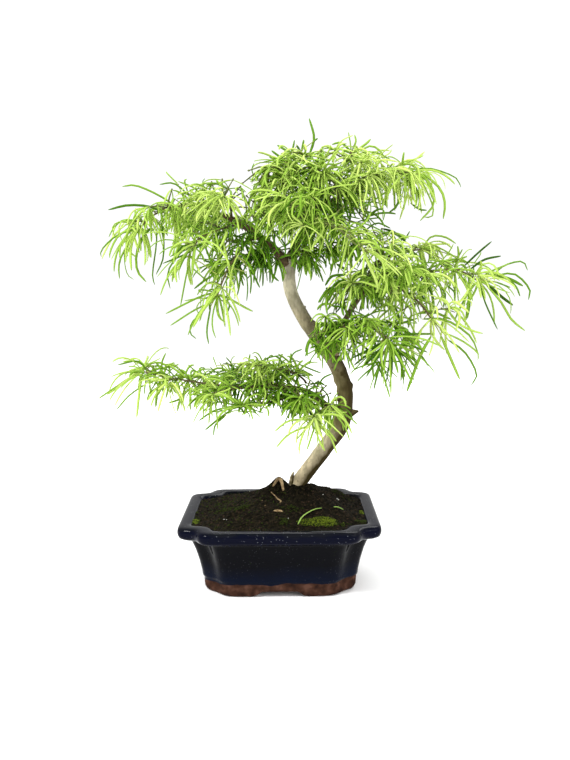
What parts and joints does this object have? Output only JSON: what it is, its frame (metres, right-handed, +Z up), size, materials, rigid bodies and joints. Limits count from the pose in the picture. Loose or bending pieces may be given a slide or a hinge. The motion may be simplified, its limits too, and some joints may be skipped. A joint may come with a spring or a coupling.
{
  "type": "potted golden larch bonsai",
  "caption": "Golden larch bonsai in a dark blue glazed rectangular pot with notched corners, its trunk in an S-curve under tiered sprays of bright green needles.",
  "frame": {"origin": "on the ground, under the middle of the whole plant's bounding box; the pot's underside is at z = 0 and the pot's own centre is a little off the origin", "axes": "+Z up along the plant's height; the pot's long side runs along X and its front faces -Y, with the long low bough on the -X side"},
  "size_m": [0.3896, 0.2236, 0.4254],
  "materials": {
    "glaze": "gloss",
    "soil": "matte",
    "bark": "matte",
    "foliage": "satin"
  },
  "bodies": {
    "root": {"pot": "glaze", "soil": "soil", "trunk": "bark", "left_bough": "bark", "crown_bough": "bark", "lower_left_bough": "bark", "right_bough": "bark", "apex": "foliage", "apex_right": "foliage", "cascade": "foliage", "crown_back": "foliage", "crown_front": "foliage", "crown_left": "foliage", "crown_middle": "foliage", "left_back": "foliage", "left_front": "foliage", "left_hanging": "foliage", "left_tip": "foliage", "left_top": "foliage", "low_front_sprig": "foliage", "lower_left_back": "foliage", "lower_left_front": "foliage", "lower_left_inner": "foliage", "lower_left_middle": "foliage", "lower_left_tip": "foliage", "lower_left_top": "foliage", "middle_front": "foliage", "middle_left": "foliage", "middle_right": "foliage", "right_arm": "foliage", "right_back": "foliage", "right_hanging": "foliage", "right_inner": "foliage", "right_top": "foliage", "under_left": "foliage", "under_right": "foliage"}
  },
  "joints": []
}
